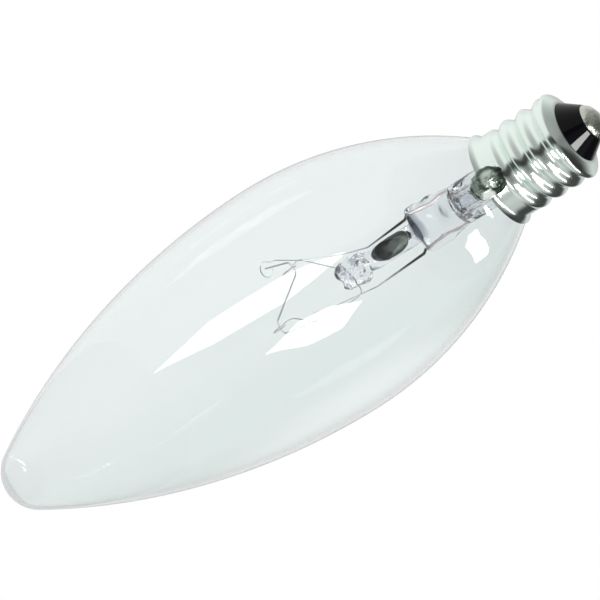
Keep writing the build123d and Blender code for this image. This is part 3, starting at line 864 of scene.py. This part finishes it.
# Plain pale table top, well below the lamp
TABLE_RADIUS = 150.0
TABLE_Z = -195.0
TABLE_THICKNESS = 4
TABLE_HOLE = 0.1
TABLE_WHITE = (0.86, 0.86, 0.86)
table_low_z = TABLE_Z - TABLE_THICKNESS
table_outline = [(TABLE_HOLE, TABLE_Z), (TABLE_RADIUS, TABLE_Z)]
table_outline += [(TABLE_RADIUS, table_low_z), (TABLE_HOLE, table_low_z)]
table = lathe("table_top", table_outline, PLAIN_STEPS)
sharpen(table)
table.data.materials.append(material("table_white", TABLE_WHITE, roughness=0.7))
table.visible_glossy = False

# Soft panels, with their corners as azimuth and elevation in degrees seen from the lamp
LAMP_MIDDLE = Vector((0, 0, -46.0))
FRONT_CORNERS = ((20, -26), (33, -16), (37, -5), (27, 5), (14.5, -3), (10.5, -14))
SIDE_CORNERS = ((55, 37), (59, 39), (70, 35.5), (103, 22), (93, 22), (64, 32))
CARD_CORNERS = ((38, 49), (56, 45), (70, 42), (68, 47), (54, 53), (40, 55))


def glow(name, strength):
    """Material that only gives light."""
    mat = bpy.data.materials.new(name)
    mat.use_nodes = True
    tree = mat.node_tree
    tree.nodes.clear()
    output = tree.nodes.new("ShaderNodeOutputMaterial")
    light = tree.nodes.new("ShaderNodeEmission")
    light.inputs["Strength"].default_value = strength
    tree.links.new(light.outputs["Emission"], output.inputs["Surface"])
    return mat


def direction(azimuth, elevation):
    """Direction from the lamp, azimuth 0 toward the camera's side and 90 to the right."""
    az = math.radians(azimuth)
    el = math.radians(elevation)
    return Vector((math.sin(az) * math.cos(el), -math.cos(az) * math.cos(el), math.sin(el)))


def panel(name, corners, distance, strength):
    """Soft panel at a distance from the lamp, not seen by the camera."""
    points = [LAMP_MIDDLE + direction(az, el) * distance for az, el in corners]
    obj = mesh_object(name, points, [tuple(range(len(points)))])
    obj.data.materials.append(glow(name, strength))
    obj.visible_camera = False
    return obj


panel("softbox_front", FRONT_CORNERS, distance=850, strength=8.0)
panel("softbox_side", SIDE_CORNERS, distance=500, strength=10.0)
card = panel("reflector_card", CARD_CORNERS, distance=500, strength=28.0)
card.visible_diffuse = False

# Tent that only reflections show, with its brightness by azimuth in degrees
TENT_RADIUS = 900
TENT_END = 88
TENT_STEP = 8
TENT_LIGHT = (
    (-180, 0.5),
    (-152, 0.85),
    (-120, 0.97),
    (-31, 0.9),
    (-20, 0.04),
    (-5, 0.04),
    (5, 0.5),
    (45, 0.5),
    (62, 0.65),
    (90, 0.55),
    (110, 0.05),
    (138, 0.05),
    (156, 0.7),
    (180, 0.5),
)
# Heights in metres where the tent dims toward its roof and evens out toward its floor
ROOF_SPAN = (0.22, 0.75)
ROOF_LIGHT = 0.4
FLOOR_SPAN = (-0.5, -0.8)
FLOOR_LIGHT = (0.8, 0.8, 0.8)


def tent_glow():
    """Glow that varies round the lamp and with height."""
    mat = glow("tent", 1.0)
    tree = mat.node_tree
    light = tree.nodes["Emission"]
    place = axes(tree)
    front = worked(tree, "MULTIPLY", place["Y"], -1)
    azimuth = worked(tree, "ARCTAN2", place["X"], front)
    shade = tree.nodes.new("ShaderNodeValToRGB")
    shade.color_ramp.interpolation = "EASE"
    stops = shade.color_ramp.elements
    while len(stops) < len(TENT_LIGHT):
        stops.new(0.5)
    for stop, (degrees, bright) in zip(stops, TENT_LIGHT):
        stop.position = (degrees + 180) / 360
        stop.color = (bright, bright, bright, 1)
    tree.links.new(ranged(tree, azimuth, (-math.pi, math.pi)), shade.inputs["Fac"])
    roof = ranged(tree, place["Z"], ROOF_SPAN, (1.0, ROOF_LIGHT), "SMOOTHSTEP")
    floor = ranged(tree, place["Z"], FLOOR_SPAN, shape="SMOOTHSTEP")
    tree.links.new(roof, light.inputs["Strength"])
    tree.links.new(mixed(tree, floor, shade.outputs["Color"], FLOOR_LIGHT), light.inputs["Color"])
    return mat


tent_rows = []
for degrees in range(-TENT_END, TENT_END + 1, TENT_STEP):
    tilt = math.radians(degrees)
    height = LAMP_MIDDLE.z + TENT_RADIUS * math.sin(tilt)
    tent_rows.append(turn(TENT_RADIUS * math.cos(tilt), height, SMALL_STEPS))
tent = skin("tent", tent_rows, closed=False)
tent.data.materials.append(tent_glow())
tent.visible_camera = False
tent.visible_diffuse = False
tent.visible_transmission = False
tent.visible_shadow = False

# White backdrop, with a dim ceiling for what is seen through the glass
AMBIENT_LIGHT = 0.75
CEILING_SPAN = (0.2, 0.6)
CEILING_LIGHT = 0.1
world = bpy.data.worlds.new("studio")
world.use_nodes = True
tree = world.node_tree
backdrop = tree.nodes["Background"]
backdrop.inputs["Color"].default_value = (1, 1, 1, 1)
path = tree.nodes.new("ShaderNodeLightPath")
through_glass = path.outputs["Is Transmission Ray"]
seen = worked(tree, "MAXIMUM", path.outputs["Is Camera Ray"], through_glass)
shown = worked(tree, "MAXIMUM", seen, path.outputs["Is Glossy Ray"])
level = ranged(tree, shown, target=(AMBIENT_LIGHT, 1.0))
ceiling = ranged(tree, axes(tree, "Generated")["Z"], CEILING_SPAN, (1.0, CEILING_LIGHT), "SMOOTHSTEP")
overhead = mixed(tree, through_glass, 1.0, ceiling, kind="FLOAT")
tree.links.new(worked(tree, "MULTIPLY", level, overhead), backdrop.inputs["Strength"])
scene.world = world
scene.view_settings.view_transform = "Standard"

# Camera, looking down on the lamp and rolled so the cap points up right
CAMERA_ELEVATION = math.radians(23.5)
CAMERA_ROLL = math.radians(32.4)
CAMERA_DISTANCE = 604.4
LENS = 289.3
SENSOR_WIDTH = 36.0
NEAR_CLIP = 10
AIM = Vector((-0.64, 0.0, -46.62))
look = Vector((0, math.cos(CAMERA_ELEVATION), -math.sin(CAMERA_ELEVATION)))
axis_up = Vector((0, math.sin(CAMERA_ELEVATION), math.cos(CAMERA_ELEVATION)))
right = Vector((1, 0, 0))
camera_x = axis_up * math.cos(CAMERA_ROLL) + right * math.sin(CAMERA_ROLL)
camera_y = axis_up * math.sin(CAMERA_ROLL) - right * math.cos(CAMERA_ROLL)
camera_data = bpy.data.cameras.new("camera")
camera_data.lens = LENS
camera_data.sensor_width = SENSOR_WIDTH
camera_data.clip_start = NEAR_CLIP * MM
camera = bpy.data.objects.new("camera", camera_data)
scene.collection.objects.link(camera)
eye = (AIM - look * CAMERA_DISTANCE) * MM
camera.matrix_world = Matrix.Translation(eye) @ Matrix((camera_x, camera_y, -look)).transposed().to_4x4()
scene.camera = camera
